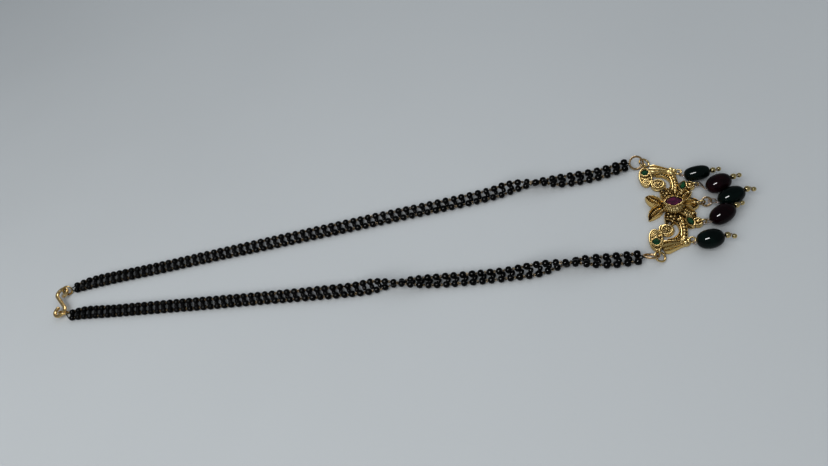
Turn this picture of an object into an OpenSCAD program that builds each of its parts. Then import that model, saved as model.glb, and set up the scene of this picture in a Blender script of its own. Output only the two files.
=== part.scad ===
// A mangalsutra lying on a flat surface: a gold pendant with five glass drops, hung
// between two pairs of black bead strings that an S hook closes at the back.
// The surface is z = 0. +X runs from the clasp to the drops, and +Y to the pendant's right.

/* [Pendant] */
// Half the width of the pendant, from its middle to the eye at each end
half_span = 16.9; // [14:0.1:22]
// Height of the pendant's pattern, from the line through the end stones to the tail's tip
pattern_h = 15; // [12:0.1:20]
// Thickness of the plate that the relief stands on
plate_t = 0.8; // [0.6:0.1:1.4]
// How high the relief of the leaves stands at its ridges, from the surface
relief_h = 1.7; // [1.3:0.1:2.4]
// Thickness of the rims, spirals and rails
rim_wire = 0.55; // [0.4:0.05:0.8]
// Radius of the small granules
granule_r = 0.5; // [0.35:0.05:0.7]
// Radius of the spirals beside the middle
spiral_r = 2.3; // [1.6:0.1:2.4]
// Length of the end volutes
volute_l = 7.6; // [6:0.1:9]
// Width of the end volutes
volute_w = 3.9; // [3:0.1:5]

/* [Stones] */
// Length of the pointed oval red stone
ruby_l = 4.6; // [3.6:0.1:5.2]
// Width of the red stone
ruby_w = 2.9; // [2.2:0.1:3.4]
// Height of the red stone's table above the surface
ruby_top = 4; // [3.4:0.1:5]
// Diameter of the round green stones in the volutes
round_d = 2.1; // [1.6:0.1:2.6]
// Length of the green stones above the inner rosettes
long_l = 2.8; // [2.2:0.1:3.4]
// Width of those stones
long_w = 1.5; // [1.2:0.1:2]
// Wall of the settings round the stones
bezel_wall = 0.35; // [0.25:0.05:0.5]
// Gap between a stone and its setting
stone_gap = 0.12; // [0.05:0.01:0.2]

/* [Drops] */
// Length of the oval glass beads
bead_l = 7.8; // [6.6:0.1:8.2]
// Diameter of the oval glass beads
bead_d = 5.8; // [4.6:0.1:5.9]
// Diameter of the bore through each glass bead
bead_bore = 1.1; // [1:0.05:1.6]
// Diameter of the gold spacer ball under each bead
ball_d = 1.8; // [1.5:0.1:2.2]
// Diameter of the ball that ends each wire
end_ball_d = 1.5; // [1.2:0.1:1.8]
// Diameter of the doubled wire that a drop hangs by
drop_wire = 0.36; // [0.3:0.02:0.42]
// Inner width of the eye at the top of the drop wire
eye_w = 1.3; // [1.1:0.05:1.5]
// How far the lower end of each drop is raised by its bead, in degrees
drop_pitch = 7; // [0:1:10]

/* [Rings] */
// Wire of the pendant's own small eyes
eye_wire = 0.5; // [0.4:0.05:0.6]
// Radius of the pendant's own small eyes, at the middle of the wire
eye_r = 0.9; // [0.8:0.05:1.1]
// Wire of the jump rings
ring_wire = 0.6; // [0.4:0.05:0.7]
// Radius of the jump rings, at the middle of the wire
ring_r = 1.6; // [1.4:0.05:2]
// Radius of the ring that holds the middle drop, at the middle of the wire
tail_ring_r = 1.3; // [1.2:0.05:1.6]
// Wire of the rings that hold the strings
link_wire = 0.7; // [0.5:0.05:0.8]
// Radius of the rings that hold the strings at the pendant, at the middle of the wire
link_r = 2.1; // [1.8:0.05:2.4]
// Radius of the rings that hold the strings at the clasp, at the middle of the wire
clasp_ring_r = 1.8; // [1.7:0.05:2.1]

/* [Clasp] */
// Wire of the S hook
hook_wire = 1.5; // [1:0.1:1.6]
// Radius of the hook's two loops, at the middle of the wire
hook_r = 2.3; // [2:0.1:2.8]
// Distance between the middles of the hook's two loops
hook_reach = 9.4; // [8.6:0.1:11]

/* [Strings] */
// Diameter of the small black beads
seed_d = 2.4; // [1.8:0.1:2.4]
// Where the pendant's middle lies, from the middle of the whole outline
pendant_x = 104.2; // [90:0.1:120]
// Where the pendant's middle lies across the outline
pendant_y = 3.2; // [0:0.1:8]

/* [Hidden] */

GOLD = "goldenrod";
RED = "mediumvioletred";
GREEN = "seagreen";

// A point of the pendant, from shares of its half width and of its pattern's height.
// The pendant is drawn as it is worn: x to the right, y up, and z out of its face.
function spot(u, v) = [u * half_span, v * pattern_h];
function at_z(p, z) = [p[0], p[1], z];
function mix(a, b, t) = a + (b - a) * t;
// A length on the pendant: a share of its reach in the direction a
function reach(share, a) = share * norm([half_span * cos(a), pattern_h * sin(a)]);

// Turns a point of the pendant into the necklace's frame, where worn down is +X.
function laid(p) = [-p[1], p[0], p[2]];

// Triangles over a stack of sections that all have the same number of points.
function strip(i, j, sides) =
    let (a = i * sides, b = j * sides)
    [for (k = [0:sides - 1])
        let (m = (k + 1) % sides)
        each [[a + k, b + k, b + m], [a + k, b + m, a + m]]];
function skin_faces(count, sides, closed) =
    closed
        ? [for (i = [0:count - 1]) each strip(i, (i + 1) % count, sides)]
        : [[for (k = [0:sides - 1]) k],
            for (i = [0:count - 2]) each strip(i, i + 1, sides),
            [for (k = [sides - 1:-1:0]) (count - 1) * sides + k]];
module skin(sections, closed = false) {
    polyhedron([for (s = sections) each s],
        skin_faces(len(sections), len(sections[0]), closed));
}

// A round wire along a path. It starts level, and its sections are carried on without a twist.
function unit(v) = v / norm(v);
function heading_at(path, i, closed) =
    let (n = len(path),
        before = closed ? (i + n - 1) % n : max(i - 1, 0),
        after = closed ? (i + 1) % n : min(i + 1, n - 1))
    unit(path[after] - path[before]);
function carried(v, d) = unit(v - (v * d) * d);
function wire_sides(path, closed) =
    let (n = len(path), d = heading_at(path, 0, closed))
    [for (i = 0, v = unit([-d[1], d[0], 0]); i < n;
        i = i + 1, v = i < n ? carried(v, heading_at(path, i, closed)) : v) v];
function wire_section(p, d, side, r, sides) =
    let (up = cross(d, side))
    [for (k = [0:sides - 1]) p + r * (cos(360 * k / sides) * side + sin(360 * k / sides) * up)];
module wire(path, d, sides = 5, closed = false) {
    across = wire_sides(path, closed);
    skin([for (i = [0:len(path) - 1])
        wire_section(path[i], heading_at(path, i, closed), across[i], d / 2, sides)], closed);
}
function arc(c, r, a, b, steps, z) =
    [for (i = [0:steps]) let (t = mix(a, b, i / steps)) [c[0] + r * cos(t), c[1] + r * sin(t), z]];

// A solid of revolution's cousin: the outline scaled by each row's share, at the row's height.
module stack(outline, rows) {
    skin([for (row = rows) [for (p = outline) [p[0] * row[0], p[1] * row[0], row[1]]]]);
}
function oval(a, b, sides) = [for (k = [0:sides - 1]) [a * cos(360 * k / sides), b * sin(360 * k / sides)]];
// A pointed oval, with its points on the x axis
function pointed(a, b, steps) =
    [for (k = [0:2 * steps - 1])
        let (s = k < steps ? 1 - 2 * k / steps : -3 + 2 * k / steps, side = k < steps ? 1 : -1)
        [a * s, side * b * pow(max(1 - s * s, 0), 0.8)]];

// A torus with its middle at c. It leans about the level line at azimuth az.
module round_ring(c, r, w, az, lean) {
    translate(c) rotate([0, 0, az]) rotate([lean, 0, 0])
        rotate_extrude($fn = 32) translate([r, 0]) circle(d = w, $fn = 16);
}

// Shapes of the pendant's leaves. Each row is a section: width share, height share.
PETAL = [[0.3, 1], [0.75, 1], [1, 1], [0.98, 0.93], [0.74, 0.83], [0.12, 0.7]];
RIBBON = [for (i = [0:7]) [1, 1]];
ARM = [[0.3, 0.9], [0.45, 1], [0.62, 1], [0.79, 1], [0.95, 0.96], [0.8, 0.85]];
// Section of a leaf, seen along it. Each row is a point: side share, height share.
LEAF_SECTION = [[-1, 0], [1, 0], [0.86, 1], [0.44, 0.64], [0, 0.96], [-0.44, 0.64], [-0.86, 1]];

// The leaves of the pendant's right half. Each row is: x share, y share of its root,
// heading, length and width as shares of the pendant's reach along and across the heading,
// height share of relief_h, bend over its length, shape.
LEAVES = [
    [0.01, -0.26, 60, 0.423, 0.204, 1.24, -26, PETAL],
    [0.11, -0.37, 28, 0.302, 0.129, 1.06, -16, PETAL],
    [0.15, -0.44, 4, 0.297, 0.125, 0.95, 34, PETAL],
    [0.17, -0.5, -10, 0.317, 0.121, 0.89, 16, PETAL],
    [0.04, -0.56, -38, 0.371, 0.251, 1.05, -8, PETAL],
    [0.27, -0.6, -24, 0.285, 0.178, 0.9, 6, PETAL],
    [0.84, -0.54, 82, 0.437, 0.269, 0.97, -8, ARM]];
// The granules of the right half. Each row is: x share, y share, radius share, height share.
GRANULES = [
    [0.79, -0.49, 1.48, 0.9], [0.84, -0.53, 1.78, 0.95], [0.75, -0.52, 1.79, 0.95],
    [0.81, -0.6, 1.7, 1], [0.43, -0.86, 1.22, 1.13], [0.24, -0.79, 1.08, 1.1],
    [0.23, -0.63, 1, 1.14], [0.29, -0.65, 1, 1.08], [0.27, -0.36, 1, 1.09],
    [0.36, -0.49, 1, 1.12], [0.75, -0.12, 1, 1.09], [0.67, -0.13, 1, 1.07],
    [0.6, -0.13, 1, 1], [0.78, -0.11, 1, 1.1]];
BAND_COUNT = 7;
COLLAR_FLUTES = 16;

// The volute reaches almost to the middle of the eye at the pendant's end.
volute_c = [half_span - volute_l / 2 - 0.68, -0.007 * pattern_h];
round_c = [volute_c[0] + 0.154 * volute_l, 0];
long_c = spot(0.415, -0.7);
long_turn = -24;
spiral_c = spot(0.525, -0.235);
rosette_c = spot(0.425, -0.835);
corner_c = spot(0.8, -0.54);
ruby_c = spot(0, -0.45);
tail_c = spot(0, -0.99);
outer_eye = spot(0.785, -0.675);
inner_eye = spot(0.425, -0.94);
eye_z = eye_r + eye_wire / 2;
flat_eye_z = 0.9;
collar_l = ruby_l / 2 + 0.063 * pattern_h;
collar_w = ruby_w / 2 + 0.136 * half_span;
frame_r = spiral_r + 0.1155 * half_span;

// A leaf that bends over its length. Its underside is flat on the surface.
function leaf_path(root, heading, length, bend, count) =
    [for (i = [0:count - 1])
        let (t = i / (count - 1), a = heading + bend * t, half = bend * t / 2,
            chord = length * t * (abs(half) < 0.1 ? 1 : sin(half) / (half * PI / 180)))
        [root[0] + chord * cos(heading + half), root[1] + chord * sin(heading + half), a]];
module leaf(root, heading, length, width, height, bend, shape) {
    path = leaf_path(root, heading, length, bend, len(shape));
    skin([for (i = [0:len(shape) - 1])
        let (p = path[i], w = width / 2 * shape[i][0], h = height * shape[i][1])
        [for (s = LEAF_SECTION)
            [p[0] - sin(p[2]) * w * s[0], p[1] + cos(p[2]) * w * s[0], h * s[1]]]]);
}
// A granule with its top at height z, soldered on a foot that reaches into the plate
module granule(p, r, z) {
    hull() {
        translate(at_z(p, max(z - r, r))) sphere(r, $fn = 6);
        translate(at_z(p, plate_t / 2)) cylinder(r = r * 0.6, h = 0.1, $fn = 6);
    }
}
// An eye at the pendant's edge, which a ring or a drop's wire goes through
module eye() {
    rotate_extrude($fn = 12) translate([eye_r, 0]) circle(d = eye_wire, $fn = 6);
}
module standing_eye(p, az) {
    translate(at_z(p, eye_z)) rotate([0, 0, az]) rotate([90, 0, 0]) eye();
}

// An end volute: a domed oval with a rim, a fan of ridges and the cup of a round stone
module volute() {
    translate(at_z(volute_c, 0)) {
        stack(oval(volute_l / 2, volute_w / 2, 18),
            [[0.99, 0], [1, plate_t], [0.89, relief_h * 0.81], [0.51, relief_h * 0.93]]);
        rim = [for (p = oval(volute_l / 2 - 0.09, volute_w / 2 - 0.08, 18)) at_z(p, relief_h * 0.74)];
        wire(rim, rim_wire, closed = true);
        for (a = [140, 165, 190, 215]) {
            wire([[-0.79 + 0.49 * cos(a), 0.51 * sin(a), relief_h * 0.9],
                [volute_l * 0.39 * cos(a), volute_w * 0.39 * sin(a), relief_h * 0.9]], rim_wire);
        }
    }
    translate(at_z(round_c, 0))
        cylinder(r = round_d / 2 + stone_gap + bezel_wall, h = relief_h + 0.41, $fn = 16);
}
// A spiral of wire on a disc, with a granule in its middle
module spiral() {
    translate(at_z(spiral_c, 0)) {
        stack(oval(spiral_r, spiral_r, 16), [[0.98, 0], [1, plate_t], [0.91, plate_t + 0.27]]);
        wire([for (a = [0:36:576]) let (r = mix(0.84, spiral_r - 0.19, a / 576))
            [r * cos(a + 40), r * sin(a + 40), relief_h * 0.74]], rim_wire);
        granule([0, 0], 0.59, relief_h * 1.04);
    }
}
// The frame below the spiral, which leaves the crescent between them open
module crescent_frame() {
    turn = 184;
    leaf(spiral_c + [-frame_r, 0], -90, frame_r * turn * PI / 180, 0.086 * half_span, relief_h * 0.79, turn, RIBBON);
}
// The rope of granules from the corner to the middle, on a ribbon with raised edges
module band() {
    from = spot(0.79, -0.51);
    heading = -160;
    turn = -34;
    length = 0.48 * half_span;
    leaf(from, heading, length, 0.118 * half_span, relief_h * 0.7, turn, RIBBON);
    for (p = leaf_path(from, heading, length, turn, BAND_COUNT))
        granule([p[0], p[1]], granule_r * 1.2, relief_h);
}
module corner() {
    translate(at_z(corner_c, 0))
        stack(oval(0.095 * half_span, 0.107 * pattern_h, 12), [[1, 0], [1, plate_t], [0.79, relief_h * 0.69]]);
}
module rosette() {
    translate(at_z(rosette_c, 0)) {
        stack(oval(0.096 * half_span, 0.108 * pattern_h, 14), [[1, 0], [1, plate_t], [0.75, relief_h * 0.8]]);
        wire(arc([0, 0], 1.25, 0, 330, 11, relief_h * 0.82), rim_wire * 0.89);
        granule([0, 0], granule_r * 1.29, relief_h * 1.09);
    }
}
module long_setting() {
    translate(at_z(long_c, 0)) rotate([0, 0, long_turn])
        stack(pointed(long_l / 2 + stone_gap + bezel_wall + 0.18, long_w / 2 + stone_gap + bezel_wall, 6),
            [[0.99, 0], [1, plate_t], [1, relief_h * 1.08]]);
}
// The fluted collar round the red stone's setting
module collar() {
    fluted = [for (k = [0:47])
        let (a = 360 * k / 48, swell = 1 + 0.07 * cos(COLLAR_FLUTES * a))
        [collar_w * swell * cos(a), collar_l * swell * sin(a)]];
    translate(at_z(ruby_c, 0)) {
        stack(fluted, [[0.97, 0], [1, relief_h * 0.76], [0.86, relief_h * 1.21], [0.59, ruby_top - 1.2]]);
        rotate([0, 0, 90]) stack(pointed(ruby_l / 2 + stone_gap + bezel_wall + 0.28,
            ruby_w / 2 + stone_gap + bezel_wall, 8), [[1, 0], [1, ruby_top - 0.57]]);
    }
}
module tail() {
    leaf(spot(0, -0.62), -90, reach(0.301, 90), reach(0.19, 0), relief_h * 1.09, 0, PETAL);
    for (side = [-1, 1])
        leaf(tail_c + spot(side * 0.151, 0.265), -90 - side * 26, reach(0.224, 64), reach(0.07, 26),
            relief_h * 0.91, -side * 22, ARM);
    for (v = [0.081, 0.131]) granule(tail_c + spot(0, v), granule_r, relief_h * (0.79 + v * 1.9));
}
module half_pendant() {
    for (l = LEAVES)
        leaf(spot(l[0], l[1]), l[2], reach(l[3], l[2]), reach(l[4], l[2] + 90), relief_h * l[5], l[6], l[7]);
    for (g = GRANULES) granule(spot(g[0], g[1]), granule_r * g[2], relief_h * g[3]);
    volute();
    spiral();
    crescent_frame();
    band();
    corner();
    rosette();
    long_setting();
}
// What is cut out of the pendant for its stones
module half_seats() {
    translate(at_z(round_c, plate_t + 0.3))
        cylinder(r = round_d / 2 + stone_gap, h = relief_h, $fn = 16);
    translate(at_z(long_c, plate_t + 0.3)) rotate([0, 0, long_turn])
        stack(pointed(long_l / 2 + stone_gap, long_w / 2 + stone_gap, 6), [[1, 0], [1, relief_h]]);
}
// What is cut out of the pendant beside a hanging eye, so that a wire can pass through the eye
module eye_way(p, tilt = 90) {
    translate(at_z(p, eye_z)) rotate([0, tilt, 0])
        cylinder(r = eye_r - eye_wire / 2, h = 4 * eye_r, center = true, $fn = 12);
}
module pendant() {
    color(GOLD) rotate([0, 0, 90]) {
        difference() {
            union() {
                for (side = [0, 1]) mirror([side, 0, 0]) half_pendant();
                collar();
                tail();
            }
            for (side = [0, 1]) mirror([side, 0, 0]) {
                half_seats();
                eye_way(inner_eye);
                eye_way(outer_eye, 0);
            }
            eye_way(tail_c);
            translate(at_z(ruby_c, ruby_top - 1.9)) rotate([0, 0, 90])
                stack(pointed(ruby_l / 2 + stone_gap, ruby_w / 2 + stone_gap, 8), [[1, 0], [1, 2]]);
        }
        standing_eye(tail_c, 90);
        for (side = [0, 1]) mirror([side, 0, 0]) {
            standing_eye([half_span, -0.4], 0);
            standing_eye(inner_eye, 90);
            translate(at_z(outer_eye, flat_eye_z)) eye();
        }
    }
}

// A cut stone on a girdle outline: pointed below, stepped to a flat table above
module gem(outline, depth, crown) {
    stack(outline, [[0.3, 0], [0.98, depth], [1, depth + 0.12], [0.62, depth + 0.12 + crown]]);
}
module ruby() {
    color(RED) rotate([0, 0, 90]) translate(at_z(ruby_c, ruby_top - 1.8)) rotate([0, 0, 90])
        gem(pointed(ruby_l / 2, ruby_w / 2, 8), 1, 0.68);
}
module round_emerald(side) {
    color(GREEN) rotate([0, 0, 90]) translate([side * round_c[0], round_c[1], plate_t + 0.4])
        gem(oval(round_d / 2, round_d / 2, 10), 0.7, 0.4);
}
module long_emerald(side) {
    color(GREEN) rotate([0, 0, 90]) translate([side * long_c[0], long_c[1], plate_t + 0.4])
        rotate([0, 0, side * long_turn]) gem(pointed(long_l / 2, long_w / 2, 6), 0.6, 0.4);
}

// The drops. Each row is: the eye or ring it hangs from, how far beyond it the middle of its bead
// lies as a share of the bead's length, how far that is from the pendant's middle line as shares
// of half_span and of the bead's diameter, azimuth of its bead, length share, diameter share,
// the turn of its end ball from the bead's line, and fullness of the bead's outline (less is
// squarer).
tail_ring_c = [-tail_c[1] + tail_ring_r, 0, eye_z + 0.1];
DROPS = [
    [laid(at_z(outer_eye, flat_eye_z)), 0.64, 0.4, 0.674, 0, 0.95, 0.81, 13, 0.6],
    [laid(at_z(inner_eye, eye_z)), 0.795, 0.2, 0.328, 20, 0.97, 1, -6, 0.9],
    [tail_ring_c + [tail_ring_r - 0.4, 0, 0], 0.744, 0, -0.01, 20, 1.02, 0.97, -25, 0.9],
    [laid(at_z([-inner_eye[0], inner_eye[1]], eye_z)), 0.667, -0.2, -0.509, 30, 1.02, 0.98, -6, 0.9],
    [laid(at_z([-outer_eye[0], outer_eye[1]], flat_eye_z)), 0.564, -0.4, -1.38, 6, 0.97, 1, -20, 0.85]];
function drop_len(d) = bead_l * d[5];
function drop_dia(d) = bead_d * d[6];
// Height of a bead's middle, so that its tilted oval rests on the surface
function drop_z(d) =
    norm([drop_len(d) / 2 * sin(drop_pitch), drop_dia(d) / 2 * cos(drop_pitch)]) + 0.03;
function drop_middle(d) = [d[0][0] + d[1] * bead_l, d[2] * half_span + d[3] * bead_d, drop_z(d)];
function direction(az, pitch) = [cos(pitch) * cos(az), cos(pitch) * sin(az), sin(pitch)];
function drop_way(d) = direction(d[4], drop_pitch);
module along_drop(d) {
    translate(drop_middle(d)) rotate([0, -drop_pitch, d[4]]) rotate([0, 90, 0]) children();
}
// The profile of an oval bead from the bore out: x is the radius, y runs along the bore
function bead_profile(l, d, bore, full, steps) =
    let (a = acos(pow(min(bore / d, 1), 1 / full)))
    [for (i = [0:steps]) let (t = mix(-a, a, i / steps)) [d / 2 * pow(cos(t), full), l / 2 * sin(t)]];
module drop_bead(d, tint) {
    color(tint) along_drop(d) rotate_extrude($fn = 48)
        polygon(bead_profile(drop_len(d), drop_dia(d), bead_bore, d[8], 14));
}
// The spacer ball, and the ball that ends the wire, which droops a little beyond it
ball_droop = 8;
function ball_place(d) = drop_len(d) / 2 + ball_d / 2 - 0.05;
function end_place(d) = drop_middle(d) + drop_way(d) * ball_place(d)
    + direction(d[4] + d[7], -ball_droop) * ((ball_d + end_ball_d) / 2 + 0.15);
module drop_ball(d) {
    color(GOLD) along_drop(d) translate([0, 0, ball_place(d)]) difference() {
        sphere(d = ball_d, $fn = 32);
        cylinder(d = bead_bore, h = ball_d + 1, center = true, $fn = 24);
    }
}
// The loop of a drop's wire: level through a standing eye, or upright through a flat one
function level_loop(tie) =
    let (half = (eye_w + drop_wire) / 2)
    [tie + [1.4, half * 0.8, 0],
        tie + [half - 0.35, half, 0],
        for (a = [60:-30:-60]) tie + [half - 0.35 - half * cos(a), half * sin(a), 0],
        tie + [half - 0.35, -half, 0],
        tie + [1.4, -half * 0.8, 0]];
function upright_loop(tie, u) =
    let (ring = tie + u * eye_r, r = (eye_wire + drop_wire) / 2 + 0.12)
    [ring + u * 0.45 + [0, 0, r + 0.1],
        for (a = [90:45:270]) ring + r * (cos(a) * u + [0, 0, sin(a)]),
        ring + u * 0.5 - [0, 0, r - 0.1]];
// The doubled wire: out of the end ball, through ball and bead, round the loop and back
function drop_path(d) =
    let (way = drop_way(d), mid = drop_middle(d), tie = d[0],
        mouth = mid - way * (drop_len(d) / 2 + 0.3),
        outlet = mid + way * (ball_place(d) + ball_d / 2 + 0.05),
        leg = [-sin(d[4]), cos(d[4]), 0] * drop_wire * 0.6,
        loop = tie[2] == flat_eye_z
            ? upright_loop(tie, unit([mouth[0] - tie[0], mouth[1] - tie[1], 0]))
            : level_loop(tie))
    [end_place(d) + leg, outlet + leg, mouth + leg, each loop,
        mouth - leg, outlet - leg, end_place(d) - leg];
module drop_wire_piece(d) {
    color(GOLD) {
        wire(drop_path(d), drop_wire, 6);
        translate(end_place(d)) sphere(d = end_ball_d, $fn = 12);
    }
}

// The rings at the pendant's ends. side is 1 on the right and -1 on the left.
end_ring_lean = 25;
end_link_lean = 44;
end_link_turn = 10;
end_ring_y = half_span + ring_r;
end_link_x = 0.4 - ring_r + ring_wire / 2 + link_wire / 2 + 0.52 - link_r;
end_link_z = link_r * sin(end_link_lean) + link_wire / 2;
// Where the strings end, short of the rings that hold them
string_end_x = end_link_x - link_r - 0.75;
module centre_ring() {
    color(GOLD) round_ring(tail_ring_c, tail_ring_r, ring_wire, 0, 45);
}
module end_ring(side) {
    color(GOLD) round_ring([0.4, side * end_ring_y, eye_z], ring_r, ring_wire, 90, end_ring_lean);
}
module end_link(side) {
    color(GOLD) round_ring([end_link_x, side * end_ring_y, end_link_z], link_r, link_wire,
        side * end_link_turn, side * end_link_lean);
}

// The clasp: an S hook that lies through two rings. Each row of CLASP_ENDS is, for one side:
// middle of the hook's loop and the azimuth in which the strings pull its ring.
CLASP_ENDS = [[[-235.3, -14.1], 26], [[-231.5, -22.8], -20]];
clasp_lean = 55;
clasp_ring_z = clasp_ring_r * sin(clasp_lean) + link_wire / 2;
hook_z = link_wire + hook_wire / 2 + 0.32;
function toward(a) = [cos(a), sin(a)];
function clasp_ring_c(end) =
    end[0] + toward(end[1]) * (hook_r + clasp_ring_r - link_wire / 2 - hook_wire / 2 - 0.3);
module clasp_ring(end, side) {
    color(GOLD) round_ring(at_z(clasp_ring_c(end), clasp_ring_z), clasp_ring_r, link_wire, end[1],
        side * clasp_lean);
}
module clasp_hook() {
    top = CLASP_ENDS[0][0];
    foot = CLASP_ENDS[1][0];
    middle = (top + foot) / 2;
    lie = unit(top - foot);
    turn = atan2(lie[1], lie[0]) - 90;
    half = hook_reach / 2;
    meet = acos(hook_r / half);
    upper = arc([0, half], hook_r, -58, 270 - meet, 12, hook_z);
    lower = arc([0, -half], hook_r, 90 - meet, -238, 12, hook_z);
    color(GOLD) translate(middle) rotate([0, 0, turn]) {
        wire(concat(upper, lower), hook_wire, 10);
        for (p = [upper[0], lower[12]]) translate(p) sphere(d = hook_wire * 1.1, $fn = 10);
    }
}

// Routes of the two pairs of strings, chosen by hand. Each row is: x, y of the pair's middle,
// half the distance between the two (below 0 once they have crossed), and how far the first
// and the second string are lifted off the surface.
RIGHT_ROUTE = [
    [-230.6, -11.9, 1.3, 0, 0], [-222, -9.7, 2, 0, 0], [-206, -7.5, 1.9, 0, 0],
    [-190, -5.6, 1.8, 0, 0], [-174, -3.4, 1.8, 0, 0], [-158, -1.2, 1.8, 0, 0],
    [-142, 0.9, 1.9, 0, 0], [-126, 3, 1.9, 0, 0], [-110, 5.1, 1.9, 0, 0],
    [-95, 7.1, 1.9, 0, 0], [-80, 9, 1.8, 0, 0], [-65, 10.9, 1.8, 0, 0],
    [-52, 12.8, 1.8, 0.2, 0], [-46, 13.7, 1.3, 1.8, 0], [-39.6, 14.5, 0, 2.6, 0],
    [-33, 15, -1.3, 1.8, 0], [-26, 15.1, -1.8, 0.2, 0],
    [end_link_x - 12.85, end_ring_y - 2.5, -1.6, 0, 0], [string_end_x, end_ring_y - 0.1, -1.3, 0.4, 0.4]];
LEFT_ROUTE = [
    [-226.2, -24.8, 1.3, 0, 0], [-218, -24, 1.8, 0, 0], [-204, -24.1, 1.7, 0, 0],
    [-190, -23.9, 1.7, 0, 0], [-174, -23.7, 1.7, 0, 0], [-158, -23.5, 1.7, 0, 0],
    [-142, -23.2, 1.6, 0, 0], [-126, -22.9, 1.6, 0, 0], [-112, -22.6, 1.7, 0, 0],
    [-100, -22.3, 1.7, 0.2, 0], [-92, -22, 1.4, 1.8, 0], [-85.2, -21.6, 0, 2.6, 0],
    [-78.5, -21.3, -1.4, 1.8, 0], [-70, -21.2, -1.6, 0.2, 0], [-58, -21.1, -1.6, 0, 0],
    [-46, -20.7, -1.5, 0, 0.2], [-36, -20.2, -1.3, 0, 1.8], [-29.2, -19.3, 0, 0, 2.6],
    [-22.5, -18.5, 1.3, 0, 1.8], [end_link_x - 11.85, -end_ring_y - 0.1, 1.6, 0, 0.2],
    [string_end_x, 0.1 - end_ring_y, 1.3, 0.4, 0.4]];
// The middle line of one string: first is 1 for the first of its pair and -1 for the second.
function string_path(route, first) =
    [for (r = route) [r[0], r[1] + first * r[2], seed_d / 2 + (first > 0 ? r[3] : r[4])]];
module strand(route, first) {
    color("black") wire(string_path(route, first), seed_d, 8);
}

module place() {
    translate([pendant_x, pendant_y, 0]) children();
}

BEAD_TINTS = ["darkslategray", "black", "darkslategray", "maroon", "darkslategray"];

place() {
    pendant();
    ruby();
    round_emerald(1);  // emerald_1
    round_emerald(-1);  // emerald_2
    long_emerald(1);  // emerald_3
    long_emerald(-1);  // emerald_4
    for (i = [0:4]) {
        drop_wire_piece(DROPS[i]);
        drop_bead(DROPS[i], BEAD_TINTS[i]);
        drop_ball(DROPS[i]);
    }
    centre_ring();
    end_ring(1);  // end_ring_right
    end_ring(-1);  // end_ring_left
    end_link(1);  // end_link_right
    end_link(-1);  // end_link_left
    clasp_ring(CLASP_ENDS[0], 1);  // clasp_ring_right
    clasp_ring(CLASP_ENDS[1], -1);  // clasp_ring_left
    clasp_hook();
    strand(RIGHT_ROUTE, 1);  // strand_right_a
    strand(RIGHT_ROUTE, -1);  // strand_right_b
    strand(LEFT_ROUTE, 1);  // strand_left_a
    strand(LEFT_ROUTE, -1);  // strand_left_b
}
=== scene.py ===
"""A mangalsutra lying on a pale surface: a gold filigree pendant with a red and four green
stones, five dark glass drops, two pairs of black bead strings and an S hook between them.

Lengths in the tables are in millimetres. The pendant is drawn as it is worn: x to the
right, y up and z out of its face. worn() lays such a point down in the frame, and lying()
does the same for a point that is already given in the necklace's own directions.
"""
import math
import random

import bpy
import numpy as np
from bpy.props import FloatProperty, FloatVectorProperty, IntProperty, PointerProperty
from mathutils import Matrix, Vector


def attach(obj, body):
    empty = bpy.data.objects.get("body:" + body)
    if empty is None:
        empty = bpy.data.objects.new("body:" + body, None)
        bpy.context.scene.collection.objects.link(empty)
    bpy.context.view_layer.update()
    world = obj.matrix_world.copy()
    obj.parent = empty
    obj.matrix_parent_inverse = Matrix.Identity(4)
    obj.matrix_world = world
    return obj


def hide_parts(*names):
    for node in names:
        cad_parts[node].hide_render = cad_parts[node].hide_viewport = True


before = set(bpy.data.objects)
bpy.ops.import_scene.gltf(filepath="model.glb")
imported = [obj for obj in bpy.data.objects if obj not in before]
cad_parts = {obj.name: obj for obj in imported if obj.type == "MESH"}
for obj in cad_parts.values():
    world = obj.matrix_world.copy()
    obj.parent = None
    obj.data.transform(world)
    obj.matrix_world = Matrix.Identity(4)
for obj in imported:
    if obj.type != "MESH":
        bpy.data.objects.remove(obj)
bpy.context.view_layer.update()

bl_info = {
    "name": "Mangalsutra",
    "version": (1, 0, 0),
    "blender": (4, 5, 0),
    "location": "View3D > Sidebar > Mangalsutra",
    "description": "Lays a mangalsutra with its pendant, drops, bead strings and hook on a pale surface",
    "category": "Add Mesh",
}

MM = 0.001
PENDANT_X, PENDANT_Y = 104.2, 3.2
HALF_SPAN, PATTERN_H = 16.9, 15.0
SIDES = {"right": 1, "left": -1}


# Places and paths

def worn(x, y, z=0.0):
    """A point of the pendant as it is worn, laid down in the frame."""
    return Vector((PENDANT_X - y, PENDANT_Y + x, z)) * MM


def lying(x, y, z=0.0):
    """A point given from the pendant's middle in the necklace's directions."""
    return Vector((PENDANT_X + x, PENDANT_Y + y, z)) * MM


def spot(u, v):
    """A point of the pendant from shares of its half width and its pattern's height."""
    return (u * HALF_SPAN, v * PATTERN_H)


def about(c, a, b, degrees):
    """The point in one direction on an oval round c, with half widths a and b."""
    t = math.radians(degrees)
    return c[0] + a * math.cos(t), c[1] + b * math.sin(t)


def mix(a, b, t):
    return a + (b - a) * t


def heading(azimuth, pitch=0.0):
    a, p = math.radians(azimuth), math.radians(pitch)
    return Vector((math.cos(p) * math.cos(a), math.cos(p) * math.sin(a), math.sin(p)))


def flowing(points, steps):
    """A smooth line through the points."""
    last = len(points) - 1
    out = []
    for i in range(last):
        p0, p1, p2, p3 = (points[min(max(i + k, 0), last)] for k in (-1, 0, 1, 2))
        for k in range(steps):
            t = k / steps
            out.append(0.5 * (2 * p1 + (p2 - p0) * t + (2 * p0 - 5 * p1 + 4 * p2 - p3) * t * t
                              + (3 * p1 - p0 - 3 * p2 + p3) * t ** 3))
    return out + [points[-1].copy()]


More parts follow.
